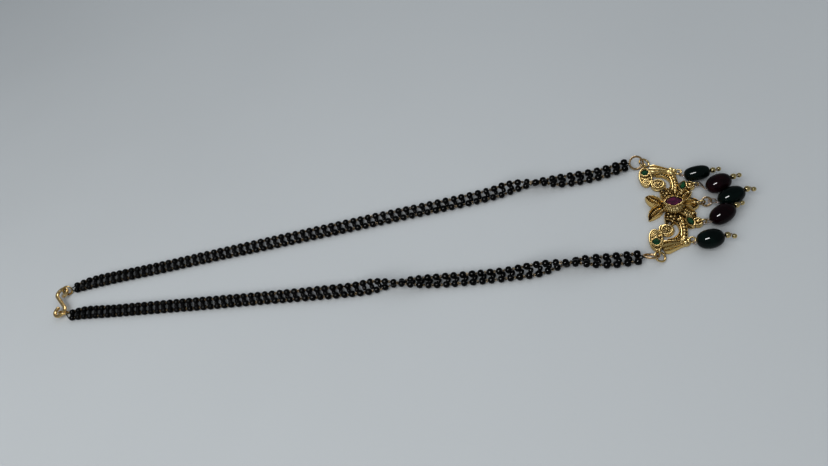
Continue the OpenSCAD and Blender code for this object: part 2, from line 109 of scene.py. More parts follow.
def eased(values, t):
    """The value at t of a list of evenly spaced values, eased between them."""
    f = t * (len(values) - 1)
    i = min(int(f), len(values) - 2)
    s = f - i
    return mix(values[i], values[i + 1], s * s * (3 - 2 * s))


def bent_line(root, azimuth, length, bend, count):
    """A line that bends evenly, as rows of x, y and heading in degrees."""
    out = []
    for i in range(count):
        t = i / (count - 1)
        half = math.radians(bend * t / 2)
        chord = length * t * (1 if abs(half) < 0.002 else math.sin(half) / half)
        a = math.radians(azimuth) + half
        out.append((root[0] + chord * math.cos(a), root[1] + chord * math.sin(a), azimuth + bend * t))
    return out


# The bench's tools

def put_down():
    """Leaves edit mode and lets go of all that is selected."""
    if bpy.context.mode != "OBJECT":
        bpy.ops.object.mode_set(mode="OBJECT")
    bpy.ops.object.select_all(action="DESELECT")


def take(*pieces):
    put_down()
    for piece in pieces:
        piece.select_set(True)
    bpy.context.view_layer.objects.active = pieces[0]


def thrown_away(piece):
    take(piece)
    bpy.ops.object.delete()


def clean(piece, reach=2e-6):
    """Merges what meets in one point, and turns the faces outward."""
    take(piece)
    bpy.ops.object.mode_set(mode="EDIT")
    bpy.ops.mesh.select_all(action="SELECT")
    bpy.ops.mesh.remove_doubles(threshold=reach)
    bpy.ops.mesh.normals_make_consistent(inside=False)
    bpy.ops.object.mode_set(mode="OBJECT")
    return piece


def laid_in(piece):
    """Puts a piece's place, turn and size into its mesh."""
    take(piece)
    bpy.ops.object.transform_apply(location=True, rotation=True, scale=True)
    return piece


def joined(pieces, name, angle=None):
    """One piece of several, smoothed where its faces meet at less than angle."""
    take(*pieces)
    if len(pieces) > 1:
        bpy.ops.object.join()
    piece = laid_in(bpy.context.object)
    if angle:
        bpy.ops.object.shade_smooth_by_angle(angle=math.radians(angle))
    piece.name = name
    piece.data.name = name
    return piece


def painted(piece, finish):
    piece.data.materials.clear()
    piece.data.materials.append(finish)
    return piece


def placed(piece, node):
    """Hangs a finished piece under the root and hides the CAD part that it stands for."""
    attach(piece, "root")
    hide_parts(node)
    return piece


def line(points, closed=False, widths=None):
    """A curve through the points, which are in metres."""
    put_down()
    bpy.ops.curve.primitive_bezier_curve_add()
    curve = bpy.context.object
    curve.data.splines.clear()
    spline = curve.data.splines.new("POLY")
    spline.points.add(len(points) - 1)
    for i, (knot, p) in enumerate(zip(spline.points, points)):
        knot.co = (p[0], p[1], p[2], 1)
        knot.radius = widths[i] if widths else 1
    spline.use_cyclic_u = closed
    curve.data.dimensions = "3D"
    curve.data.use_fill_caps = not closed
    return curve


def as_mesh(curve):
    take(curve)
    bpy.ops.object.convert(target="MESH")
    return clean(bpy.context.object)


def wire(points, thick, sides=8, closed=False, widths=None):
    """A round wire along the points. thick is in millimetres."""
    curve = line(points, closed, widths)
    curve.data.bevel_depth = thick / 2 * MM
    curve.data.bevel_resolution = (sides - 4) // 2
    return as_mesh(curve)


def ribbon(points, section, widths=None):
    """A strip that stands on the surface along the points, with a drawn section."""
    shape = line([Vector((x, y, 0)) * MM for x, y in section], closed=True)
    shape.data.dimensions = "2D"
    curve = line(points, widths=widths)
    curve.data.twist_mode = "Z_UP"
    curve.data.bevel_mode = "OBJECT"
    curve.data.bevel_object = shape
    piece = as_mesh(curve)
    thrown_away(shape)
    return piece


def sphere(radius, segments, rings, place=(0, 0, 0)):
    put_down()
    bpy.ops.mesh.primitive_uv_sphere_add(segments=segments, ring_count=rings, radius=radius * MM,
                                         location=place)
    return laid_in(bpy.context.object)


def torus(radius, thick, segments, sides, place=(0, 0, 0), turn=(0, 0, 0)):
    """A ring of round wire, turned by the given degrees about x, y and z."""
    put_down()
    bpy.ops.mesh.primitive_torus_add(major_segments=segments, minor_segments=sides,
                                     major_radius=radius * MM, minor_radius=thick / 2 * MM,
                                     location=place, rotation=[math.radians(d) for d in turn])
    return laid_in(bpy.context.object)


def turned(profile, steps):
    """A closed outline of (radius, height) in millimetres, spun about the z axis."""
    put_down()
    bpy.ops.mesh.primitive_circle_add(vertices=len(profile), radius=MM)
    piece = bpy.context.object
    for vertex, (r, z) in zip(piece.data.vertices, profile):
        vertex.co = Vector((r, 0, z)) * MM
    bpy.ops.object.mode_set(mode="EDIT")
    bpy.ops.mesh.select_all(action="SELECT")
    bpy.ops.mesh.spin(steps=steps, angle=math.tau, center=(0, 0, 0), axis=(0, 0, 1))
    bpy.ops.object.mode_set(mode="OBJECT")
    return clean(piece)


def stacked(outline, profile):
    """A solid over an outline. Each row is its share of the outline's size and its height.
    The outline starts as a filled disc, and each row is pulled up from the last."""
    put_down()
    bpy.ops.mesh.primitive_circle_add(vertices=len(outline), radius=MM, fill_type="NGON")
    piece = bpy.context.object
    centre = sum(outline, Vector()) / len(outline)
    centre.z = 0

    def shape(vertices, share, z):
        for vertex, p in zip(vertices, outline):
            vertex.co = centre + (Vector((p.x, p.y, 0)) - centre) * share + Vector((0, 0, z * MM))

    shape(piece.data.vertices, *profile[0])
    for row in profile[1:]:
        take(piece)
        bpy.ops.object.mode_set(mode="EDIT")
        bpy.ops.mesh.extrude_region_move(TRANSFORM_OT_translate={"value": (0, 0, 0.1 * MM)})
        bpy.ops.object.mode_set(mode="OBJECT")
        shape([v for v in piece.data.vertices if v.select], *row)
    return clean(piece, 1e-7)


def at(point, size=1.0, way=None, roll=0.0):
    """A place for a shape: its z axis along way, and its size as a number or one for each axis."""
    scale = size if hasattr(size, "__len__") else (size, size, size)
    turn = way.to_track_quat("Z", "Y").to_matrix().to_4x4() if way is not None else Matrix.Identity(4)
    return (Matrix.Translation(point) @ turn @ Matrix.Rotation(roll, 4, "Z")
            @ Matrix.Diagonal((*scale, 1)))


def strewn(master, places, name):
    """Copies of one small shape, each with its own place, in one mesh. The master goes."""
    flat = np.empty(len(master.data.vertices) * 3)
    master.data.vertices.foreach_get("co", flat)
    points = flat.reshape(-1, 3)
    faces = [tuple(face.vertices) for face in master.data.polygons]
    all_points, all_faces = [], []
    for k, place in enumerate(places):
        m = np.array(place)
        all_points.append(points @ m[:3, :3].T + m[:3, 3])
        all_faces.extend(tuple(i + k * len(points) for i in face) for face in faces)
    mesh = bpy.data.meshes.new(name)
    mesh.from_pydata(np.vstack(all_points).tolist(), [], all_faces)
    mesh.polygons.foreach_set("use_smooth", [True] * len(mesh.polygons))
    piece = bpy.data.objects.new(name, mesh)
    bpy.context.collection.objects.link(piece)
    thrown_away(master)
    return piece


# Materials

class Flow:
    """A value that flows between a material's nodes, so that shader maths reads as sums."""

    def __init__(self, recipe, socket):
        self.recipe = recipe
        self.socket = socket

    def maths(self, operation, *values):
        return self.recipe.add("ShaderNodeMath", dict(enumerate(values)), operation=operation)

    def __add__(self, other):
        return self.maths("ADD", self, other)

    def __mul__(self, other):
        return self.maths("MULTIPLY", self, other)

    def __sub__(self, other):
        return self.maths("SUBTRACT", self, other)

    def __rsub__(self, other):
        return self.maths("SUBTRACT", other, self)

    __radd__ = __add__
    __rmul__ = __mul__

    def between(self, low, high):
        """0 below low, 1 above high, and eased between them."""
        return self.recipe.add("ShaderNodeMapRange", {"Value": self, "From Min": low, "From Max": high},
                               interpolation_type="SMOOTHSTEP", clamp=True)


class Recipe:
    """One finish: a material whose nodes are added by add()."""

    def __init__(self, name):
        self.material = bpy.data.materials.new(name)
        self.material.use_nodes = True
        self.tree = self.material.node_tree
        self.tree.nodes.clear()
        self.coords = self.add("ShaderNodeTexCoord", {}, "Object")

    def add(self, kind, values, out=0, **settings):
        """A node of a kind, with values or flows for its inputs, and its settings."""
        node = self.tree.nodes.new(kind)
        for key, value in settings.items():
            setattr(node, key, value)
        for key, value in values.items():
            if isinstance(value, Flow):
                self.tree.links.new(value.socket, node.inputs[key])
            elif node.inputs[key].type == "RGBA":
                node.inputs[key].default_value = (*value, 1)
            else:
                node.inputs[key].default_value = value
        return Flow(self, node.outputs[out]) if node.outputs else None

    def noise(self, scale, detail=3.0, rough=0.5):
        """Noise, with scale in patches to a metre."""
        return self.add("ShaderNodeTexNoise",
                        {"Vector": self.coords, "Scale": scale, "Detail": detail, "Roughness": rough})

    def cells(self, scale):
        return self.add("ShaderNodeTexVoronoi", {"Vector": self.coords, "Scale": scale}, "Distance",
                        feature="F1")

    def tint(self, factor, a, b):
        """A colour between a and b."""
        return self.add("ShaderNodeMix", {0: factor, 6: a, 7: b}, 2, data_type="RGBA")

    def along(self, axis):
        return self.add("ShaderNodeSeparateXYZ", {0: self.coords}, axis)

    def open_places(self, reach):
        """1 on open places and 0 deep in hollows."""
        return self.add("ShaderNodeAmbientOcclusion", {"Distance": reach * MM}, "AO", samples=6,
                        only_local=False)

    def bump(self, height, depth, strength):
        """A bump. depth is in millimetres."""
        return self.add("ShaderNodeBump", {"Height": height, "Strength": strength, "Distance": depth * MM})

    def surface(self, **values):
        shader = self.add("ShaderNodeBsdfPrincipled",
                          {key.replace("_", " "): value for key, value in values.items()})
        self.add("ShaderNodeOutputMaterial", {"Surface": shader})
        return self.material


# Colours where it is open, beside the hollows and in them, the last two painted shade, roughness, and how
# worn it looks
GOLDS = {
    "string_wire": ((0.2, 0.15, 0.09), (0.1, 0.07, 0.035), (0.02, 0.014, 0.008), 0.42, 1),
    "drop_gold": ((0.74, 0.59, 0.3), (0.32, 0.235, 0.08), (0.05, 0.032, 0.008), 0.17, 0.4),
    "drop_wire_gold": ((0.92, 0.77, 0.64), (0.66, 0.5, 0.38), (0.2, 0.13, 0.08), 0.3, 0.4),
    "ring_gold": ((0.84, 0.61, 0.27), (0.5, 0.32, 0.09), (0.1, 0.05, 0.015), 0.2, 0.4),
    "link_gold": ((0.66, 0.47, 0.26), (0.34, 0.21, 0.09), (0.06, 0.03, 0.013), 0.24, 0.4),
    "hook_gold": ((0.78, 0.57, 0.28), (0.48, 0.3, 0.1), (0.1, 0.05, 0.015), 0.33, 0.35),
}
HOLLOW_REACH = 0.9


def gold(name, light, deep, hollow_shade, rough, wear=1.0):
    """Plated brass: bright on what stands out, brown painted shade in the hollows, with fine scratches."""
    r = Recipe(name)
    cloud = r.noise(450, 4)
    fine = r.noise(5200, 3, 0.6)
    # Ambient occlusion marks the hollows: the colours below paint shade into them and keep the lit gold on
    # open places.
    open_place = r.open_places(HOLLOW_REACH).between(0.26, 0.84)
    # Painted shade in the hollows, mixed with cloudy patches of wear.
    painted_shade_and_wear = (open_place * 0.75 + cloud * 0.5 - 0.12).between(0.2, 0.85)
    base = r.tint(painted_shade_and_wear, hollow_shade, deep)
    base = r.tint(open_place * 0.72 + r.noise(1400, 2).between(0.35, 0.7) * 0.28, base, light)
    base = r.tint(fine.between(0.55, 0.8) * 0.18 * wear, base, deep)
    roughness = (1 - open_place) * 0.2 + fine * 0.12 * wear + cloud * 0.08 + rough - 0.1
    grain = r.bump(fine * 0.35 + r.noise(2300, 2), 0.045 * wear, 0.5)
    return r.surface(Base_Color=base, Metallic=1.0, Roughness=roughness, Normal=grain)


def plated(name):
    return gold(name, *GOLDS[name])


def drop_glass(name, colour, edge):
    """Opaque glass: nearly black, with its colour in cloudy streaks and specks."""
    r = Recipe(name)
    streaks = r.noise(260, 4, 0.6).between(0.4, 0.75)
    specks = r.cells(1500).between(0.0, 0.25)
    base = r.tint(streaks, colour, edge)
    base = r.tint((1 - specks) * 0.15, base, edge)
    return r.surface(Base_Color=base, Roughness=streaks * 0.05 + 0.05, IOR=1.5, Specular_IOR_Level=0.16,
                     Normal=r.bump(r.noise(420, 1), 0.04, 0.25))


def bead_glass(name):
    """Glossy black glass with a little dust."""
    r = Recipe(name)
    cloud = r.noise(700, 3)
    dust = r.noise(3600, 2).between(0.6, 0.75)
    return r.surface(Base_Color=r.tint(dust * 0.12, (0.0008, 0.0008, 0.001), (0.01, 0.009, 0.008)),
                     Roughness=cloud * 0.1 + dust * 0.08 + 0.08, Specular_IOR_Level=0.14,
                     Normal=r.bump(cloud, 0.06, 0.3))


def cut_stone(name, colour, light):
    """A cut stone: deep colour with lighter patches where light comes back out of it."""
    r = Recipe(name)
    patches = r.noise(900, 2).between(0.42, 0.62)
    facets = r.cells(1300).between(0.1, 0.5)
    return r.surface(Base_Color=r.tint(patches * 0.7 + facets * 0.3, colour, light),
                     Roughness=patches * 0.05 + 0.06, IOR=1.7, Normal=r.bump(r.cells(1800), 0.05, 0.5))


def pale_surface(name, colour):
    """A pale painted surface, with painted shade that makes it a little darker towards its right and its far
    side.
    """
    r = Recipe(name)
    cloud = r.noise(9, 3)
    speck = r.noise(900, 3).between(0.62, 0.8)
    # Painted shade: darker towards the right and the far side, with a cloudy mottle.
    shade = cloud * 0.3 + r.along("X").between(0.02, 0.17) * 0.3 + r.along("Y").between(-0.08, 0.17) * 0.4
    base = r.tint(shade, [c * 1.05 for c in colour], [c * 0.88 for c in colour])
    return r.surface(Base_Color=r.tint(speck * 0.08, base, (0.3, 0.31, 0.32)),
                     Roughness=0.75 - cloud * 0.2, Normal=r.bump(r.noise(1500, 2), 0.05, 0.15))


# What a user may change

# Gold colours that paint shade: light where the gold stands out, deep beside the hollows, and the painted
# shade in them.
class MangalsutraGold(bpy.types.PropertyGroup):
    light: FloatVectorProperty(name="Light gold", description="Colour of the gold where it stands out",
                               subtype="COLOR", size=3, min=0, max=1, default=(0.9, 0.69, 0.33))
    deep: FloatVectorProperty(name="Deep gold", description="Colour of the gold beside the hollows",
                              subtype="COLOR", size=3, min=0, max=1, default=(0.66, 0.44, 0.12))
    hollow_shade: FloatVectorProperty(name="Dark gold", description="Colour in the hollows",
                              subtype="COLOR", size=3, min=0, max=1, default=(0.13, 0.066, 0.012))
    rough: FloatProperty(name="Roughness", description="How dull the polished gold is",
                         min=0.05, max=0.6, default=0.27)


class MangalsutraStrings(bpy.types.PropertyGroup):
    bead_d: FloatProperty(name="Bead diameter", description="Diameter of the small black beads",
                          unit="LENGTH", precision=5, min=0.001, max=0.004, default=0.0024)
    pitch: FloatProperty(name="Pitch", description="Distance from bead to bead along a string",
                         unit="LENGTH", precision=5, min=0.002, max=0.006, default=0.003)
    shift: FloatProperty(name="Shift", description="How far a pair's second string is behind, in pitches",
                         min=0, max=1, default=0.42)
    seed: IntProperty(name="Seed", description="Start of the small differences between beads",
                      min=0, max=999, default=7)


class MangalsutraDrops(bpy.types.PropertyGroup):
    bead_l: FloatProperty(name="Drop length", description="Length of the oval glass beads",
                          unit="LENGTH", precision=5, min=0.005, max=0.01, default=0.0078)
    bead_d: FloatProperty(name="Drop diameter", description="Diameter of the oval glass beads",
                          unit="LENGTH", precision=5, min=0.004, max=0.007, default=0.0058)
    green: FloatVectorProperty(name="Green glass", description="Colour of the green-black drops",
                               subtype="COLOR", size=3, min=0, max=1, default=(0.0008, 0.003, 0.0026))
    maroon: FloatVectorProperty(name="Maroon glass", description="Colour of the maroon-black drops",
                                subtype="COLOR", size=3, min=0, max=1, default=(0.0035, 0.0008, 0.0014))


class MangalsutraStage(bpy.types.PropertyGroup):
    floor: FloatVectorProperty(name="Floor", description="Colour of the surface it lies on",
                               subtype="COLOR", size=3, min=0, max=1, default=(0.44, 0.457, 0.468))
    strength: FloatProperty(name="Light", description="Strength of the large soft light, in watts",
                            subtype="POWER", min=0, max=100, default=10.8)


# The strings

# Points that a pair of strings passes, as the CAD model has them: x, y, half the distance
# between the two, and how far the first and the second are lifted where one lies on the other
ROUTES = {
    "right": [
        (-230.6, -11.9, 1.3, 0, 0), (-222, -9.7, 2, 0, 0), (-206, -7.5, 1.9, 0, 0),
        (-190, -5.6, 1.8, 0, 0), (-174, -3.4, 1.8, 0, 0), (-158, -1.2, 1.8, 0, 0),
        (-142, 0.9, 1.9, 0, 0), (-126, 3, 1.9, 0, 0), (-110, 5.1, 1.9, 0, 0),
        (-95, 7.1, 1.9, 0, 0), (-80, 9, 1.8, 0, 0), (-65, 10.9, 1.8, 0, 0),
        (-52, 12.8, 1.8, 0.2, 0), (-46, 13.7, 1.3, 1.8, 0), (-39.6, 14.5, 0, 2.6, 0),
        (-33, 15, -1.3, 1.8, 0), (-26, 15.1, -1.8, 0.2, 0), (-14.98, 16, -1.6, 0, 0),
        (-4.98, 18.4, -1.3, 0.4, 0.4)],
    "left": [
        (-226.2, -24.8, 1.3, 0, 0), (-218, -24, 1.8, 0, 0), (-204, -24.1, 1.7, 0, 0),
        (-190, -23.9, 1.7, 0, 0), (-174, -23.7, 1.7, 0, 0), (-158, -23.5, 1.7, 0, 0),
        (-142, -23.2, 1.6, 0, 0), (-126, -22.9, 1.6, 0, 0), (-112, -22.6, 1.7, 0, 0),
        (-100, -22.3, 1.7, 0.2, 0), (-92, -22, 1.4, 1.8, 0), (-85.2, -21.6, 0, 2.6, 0),
        (-78.5, -21.3, -1.4, 1.8, 0), (-70, -21.2, -1.6, 0.2, 0), (-58, -21.1, -1.6, 0, 0),
        (-46, -20.7, -1.5, 0, 0.2), (-36, -20.2, -1.3, 0, 1.8), (-29.2, -19.3, 0, 0, 2.6),
        (-22.5, -18.5, 1.3, 0, 1.8), (-13.98, -18.6, 1.6, 0, 0.2), (-4.98, -18.4, 1.3, 0.4, 0.4)],
}
# The height of the strings' middle lines where they lie on the surface
BEAD_LEVEL = 1.2
# The rings at the pendant's ends, and the links in them that the strings are tied to. Split
# rings are drawn with two turns of thinner wire, and measure as much as SPLIT_WIRE across
END_RING_X, END_RING_R, END_RING_WIRE = 0.4, 1.6, 0.6
LINK_R, LINK_GAP, SPLIT_WIRE = 2.1, 0.52, 0.7
END_RING_Y = HALF_SPAN + END_RING_R
LINK_X = END_RING_X - END_RING_R + END_RING_WIRE / 2 + SPLIT_WIRE / 2 + LINK_GAP - LINK_R
# The rings on the hook: how far their middles are from the middles of its loops, and their
# radius. For each side the middle of its loop, and the azimuth in which the ring lies
CLASP_RING_OUT, CLASP_RING_R = 2.7, 1.8
CLASP_ENDS = {"right": (Vector((-235.3, -14.1, 0)), 26), "left": (Vector((-231.5, -22.8, 0)), -20)}
# A bead's outline for a radius of one, and how far the first and the last are from the ends
SEED_BEAD = [(0.34, -0.8), (0.62, -0.83), (0.86, -0.56), (1.0, 0), (0.86, 0.56), (0.62, 0.83), (0.34, 0.8)]
FIRST_BEAD, LAST_BEAD = 1.2, 0.9
# Rows nearer to each other than this have no small beads between them. The small black beads tie the rows,
# and also fill the gap between them with dark as painted shade.
TIED_FROM = 2.7
THREAD, THREAD_LEVEL = 0.42, 1.8
EYE_LOOP_R, EYE_LOOP_WIRE = 0.42, 0.2
# How beads differ: their tilt, the shares of their width and length, how far they slip along the
# string in millimetres, and the radius of the small ones
TILT, WIDTHS, LENGTHS, SLIP, SMALL_RADII = 0.15, (0.98, 1.05), (0.86, 0.98), 0.1, (0.74, 0.86)


def string_line(side, first):
    """The middle line of one string of a pair: the first, or the second where first is -1."""
    points = [lying(x, y + first * half_gap, BEAD_LEVEL + (up if first > 0 else down))
              for x, y, half_gap, up, down in ROUTES[side]]
    return flowing(points, 4)


def walked(points, distances):
    """The points and headings at given distances along a line, and where on it they are."""
    out, i, passed = [], 0, 0.0
    for distance in distances:
        step = (points[i + 1] - points[i]).length
        while i < len(points) - 2 and passed + step < distance:
            passed += step
            i += 1
            step = (points[i + 1] - points[i]).length
        a, b = points[i], points[i + 1]
        t = (distance - passed) / step
        out.append((a + (b - a) * t, (b - a).normalized(), i + t))
    return out


def beside(points, place):
    """The point of another line that lies at the same place, counted in its points."""
    i = min(int(place), len(points) - 2)
    return points[i] + (points[i + 1] - points[i]) * (place - i)


def bead_places(path, other, distances, tied, sizes, chance):
    """Where the beads of a string go, and the small ones that tie it to the other and darken the gap as
    painted shade.
    """
    radius = sizes.bead_d / 2 / MM
    big, small = [], []
    for point, way, place in walked(path, distances):
        tip = (way + Vector([chance.uniform(-TILT, TILT) for _ in range(3)])).normalized()
        size = radius * chance.uniform(*WIDTHS)
        over = beside(other, place) - point
        point = point + over.normalized() * (size - radius + 0.04) * MM
        point.z = max(point.z, size * MM)
        big.append(at(point, (size, size, radius * chance.uniform(*LENGTHS)), tip, chance.uniform(0, 6)))
        # Small black beads between the rows: ties, and also painted shade that darkens the gap.
        if tied and over.length > TIED_FROM * MM:
            target = point + over + way * sizes.shift * sizes.pitch
            size = chance.uniform(*SMALL_RADII)
            middle = (point + target) / 2
            middle.z = max(middle.z, size * MM)
            small.append(at(middle, (size, size, size * 1.25), (target - point).normalized(),
                            chance.uniform(0, 6)))
    return big, small


def loop_places(path, distances):
    """Where the wire loops go: two that hold each other between two beads."""
    places = []
    halfway = [(a + b) / 2 for a, b in zip(distances, distances[1:])]
    for i, (point, way, _) in enumerate(walked(path, halfway)):
        across = Vector((-way.y, way.x, 0)) * math.cos(i * 1.9) + Vector((0, 0, math.sin(i * 1.9)))
        across.normalize()
        for sign in (1, -1):
            tip = (across + way * 0.5 * (sign < 0)).normalized()
            places.append(at(point + across * 0.2 * sign * MM, 1, tip))
    return places


def string_of_beads(side, tag, first, sizes, black, metal):
    """Beads, wire loops and a thread that runs on to the rings at both ends."""
    chance = random.Random(sizes.seed * 10 + (first > 0) + 2 * (side == "left"))
    path, other = string_line(side, first), string_line(side, -first)
    start = FIRST_BEAD * MM + (0 if first > 0 else sizes.shift * sizes.pitch)
    run = sum((b - a).length for a, b in zip(path, path[1:])) - start - LAST_BEAD * MM
    last = int(run / sizes.pitch)
    distances = [start + i * run / last + chance.uniform(-SLIP, SLIP) * MM * (0 < i < last)
                 for i in range(last + 1)]
    big, small = bead_places(path, other, distances, first > 0, sizes, chance)
    parts = [strewn(turned(SEED_BEAD, 12), big, "beads")]
    if small:
        parts.append(strewn(turned(SEED_BEAD, 10), small, "small_beads"))
    hook_end, azimuth = CLASP_ENDS[side]
    hold = hook_end + heading(azimuth) * (CLASP_RING_OUT + CLASP_RING_R) + Vector((0, 0, THREAD_LEVEL))
    link = (LINK_X - LINK_R, SIDES[side] * END_RING_Y, THREAD_LEVEL)
    inner = [path[0].lerp(path[1], 0.5)] + path[1:-1] + [path[-2].lerp(path[-1], 0.5)]
    parts.append(wire([lying(*hold)] + inner + [lying(*link)], THREAD, 6))
    for part in parts:
        painted(part, black)
    loops = strewn(torus(EYE_LOOP_R, EYE_LOOP_WIRE, 10, 5), loop_places(path, distances), "loops")
    parts.append(painted(loops, metal))
    return placed(joined(parts, f"beads_{side}_{tag}"), f"strand_{side}_{tag}")


class MANGALSUTRA_OT_strings(bpy.types.Operator):
    """Threads the black beads of the four strings along their routes"""
    bl_idname = "mangalsutra.strings"
    bl_label = "Thread the strings"

    def execute(self, context):
        black = bead_glass("black_bead_gloss")
        metal = plated("string_wire")
        for side in SIDES:
            for tag, first in (("a", 1), ("b", -1)):
                string_of_beads(side, tag, first, context.scene.mangalsutra_strings, black, metal)
        return {"FINISHED"}


# The pendant

# How the width of a petal and of an arm changes from root to tip
PETAL = [0.42, 0.75, 0.96, 1.0, 0.86, 0.6, 0.16]
ARM = [0.36, 0.5, 0.66, 0.82, 0.95, 0.8]
# x share, y share of the root, heading, length, width, height, bend, shape, granules on its ridge
LEAVES = [
    (0.01, -0.26, 60, 6.55, 3.35, 2.1, -26, PETAL, 5), (0.11, -0.37, 28, 5, 2, 1.8, -16, PETAL, 3),
    (0.16, -0.45, 4, 5, 1.89, 1.6, 34, PETAL, 3), (0.16, -0.51, -10, 5.35, 1.81, 1.5, 16, PETAL, 3),
    (0.05, -0.56, -38, 6, 3.95, 1.77, -8, PETAL, 5), (0.26, -0.59, -24, 4.75, 2.75, 1.55, 6, PETAL, 3),
    (0.83, -0.53, 82, 6.55, 4.55, 1.6, -8, ARM, 0)]
# x share, y share, radius and the height of the top of the single granules
GRANULES = [
    (0.78, -0.49, 0.74, 1.5), (0.85, -0.54, 0.89, 1.6), (0.75, -0.53, 0.89, 1.63), (0.81, -0.6, 0.85, 1.7),
    (0.42, -0.85, 0.6, 1.94), (0.24, -0.78, 0.54, 1.88), (0.23, -0.64, 0.5, 1.94), (0.28, -0.66, 0.5, 1.85),
    (0.27, -0.36, 0.5, 1.85), (0.35, -0.49, 0.5, 1.88), (0.74, -0.12, 0.5, 1.85), (0.66, -0.12, 0.5, 1.8),
    (0.6, -0.13, 0.5, 1.7), (0.78, -0.11, 0.5, 1.88)]


def even(half):
    """A section of the reliefs from its right half, in shares of half width and height."""
    left = [(-x, z) for x, z in reversed(half[1:]) if x > 0]
    return [(-1, 0)] + half + left


# A raised rim, a groove and a ridge along the middle
PETAL_SECTION = even([(1, 0), (1, 0.55), (0.96, 0.88), (0.87, 1), (0.77, 0.94), (0.68, 0.6), (0.46, 0.42),
                      (0.2, 0.56), (0, 0.86)])
# Four rounded reeds side by side
ARM_SECTION = even([(1, 0), (1, 0.7), (0.93, 0.96), (0.82, 0.98), (0.71, 0.62), (0.61, 0.52), (0.5, 0.84),
                    (0.33, 0.98), (0.15, 0.84), (0, 0.46)])
# Two round edges with a trough between them
RAIL_SECTION = even([(1, 0), (1, 0.6), (0.93, 0.93), (0.75, 1), (0.58, 0.9), (0.45, 0.45), (0, 0.36)])
VOLUTE, ROUND_STONE, SPIRAL = spot(0.735, -0.005), spot(0.805, 0), spot(0.525, -0.235)
LONG_STONE, LONG_TURN, ROSETTE = spot(0.415, -0.7), -24, spot(0.425, -0.835)
CORNER, RUBY, TAIL, TAIL_LEAF = spot(0.8, -0.54), spot(0, -0.45), spot(0, -0.99), spot(0, -0.61)
OUTER_EYE, INNER_EYE, END_EYE = spot(0.785, -0.675), spot(0.425, -0.94), (HALF_SPAN, -0.4)
EYE_R, EYE_WIRE, UPRIGHT_EYE_Z, FLAT_EYE_Z = 0.9, 0.5, 1.15, 0.9
# The height of the plate's relief, and the radius and turn of the rail round a spiral
RELIEF, RAIL_R, RAIL_TURN = 1.7, 4.25, 184
COLLAR_A, COLLAR_B, TONGUES = 3.72, 3.22, 16
# Profiles of what stands on the plate: shares of the outline's size, and heights
VOLUTE_PROFILE = [(0.98, 0), (1, 0.1), (1, 1.0), (0.95, 1.12), (0.88, 0.92), (0.8, 1.0), (0.6, 1.26),
                  (0.35, 1.36)]
CUP_PROFILE = [(1, 0.5), (1, 1.6), (0.97, 1.95), (0.9, 2.08), (0.8, 2.06), (0.775, 1.9), (0.77, 1.2)]
SPIRAL_PROFILE = [(0.97, 0), (1, 0.1), (1, 0.72), (0.95, 0.85), (0.85, 0.9), (0.4, 0.98)]
CORNER_PROFILE = [(0.97, 0), (1, 0.1), (1, 0.7), (0.92, 0.9), (0.7, 1.15), (0.4, 1.2)]
ROSETTE_PROFILE = [(0.97, 0), (1, 0.1), (1, 0.8), (0.9, 1.2), (0.6, 1.24), (0.4, 1.2)]
LONG_PROFILE = [(0.98, 0), (1, 0.2), (1, 1.5), (0.97, 1.75), (0.9, 1.84), (0.82, 1.8), (0.8, 1.2)]
COLLAR_PROFILE = [(0.95, 0), (0.99, 0.15), (1, 0.9), (0.99, 1.2), (0.95, 1.5), (0.9, 1.85), (0.85, 2.05),
                  (0.78, 2.25), (0.7, 2.45), (0.62, 2.7)]
TONGUE_PROFILE = [(0.98, 1.15), (0.93, 1.75), (0.85, 2.12), (0.76, 2.4), (0.66, 2.66)]
BEZEL_PROFILE = [(1, 1.6), (1, 3.0), (0.98, 3.3), (0.92, 3.42), (0.87, 3.4), (0.85, 3.1), (0.84, 2.6)]


class Leaf:
    """A leaf or an arm in relief, on the right half or mirrored on the left."""

    def __init__(self, side, root, azimuth, length, width, height, bend, shape):
        self.side, self.length, self.width, self.height, self.shape = side, length, width, height, shape
        self.course = (root, azimuth, length, bend)
        self.rows = bent_line(*self.course, 61)

    def relief(self, section, count=14):
        points = [worn(self.side * x, y) for x, y, _ in bent_line(*self.course, count)]
        shares = [max(eased(self.shape, i / (count - 1)), 0.12) for i in range(count)]
        piece = ribbon(points, [(x * self.width / 2, z * self.height) for x, z in section], shares)
        # the height keeps up better than the width towards the ends
        for vertex in piece.data.vertices:
            near = min(range(count), key=lambda i: (points[i].xy - vertex.co.xy).length)
            vertex.co.z *= shares[near] ** -0.55
        return piece

    def point(self, t, u, rise):
        """t along the leaf, u across it in half widths, rise in shares of its height."""
        last = len(self.rows) - 1
        x, y, azimuth = self.rows[min(int(t * last + 0.5), last)]
        share = eased(self.shape, t)
        reach = u * self.width / 2 * share
        x, y = about((x, y), reach, reach, azimuth + 90)
        return worn(self.side * x, y, rise * self.height * share ** 0.45)


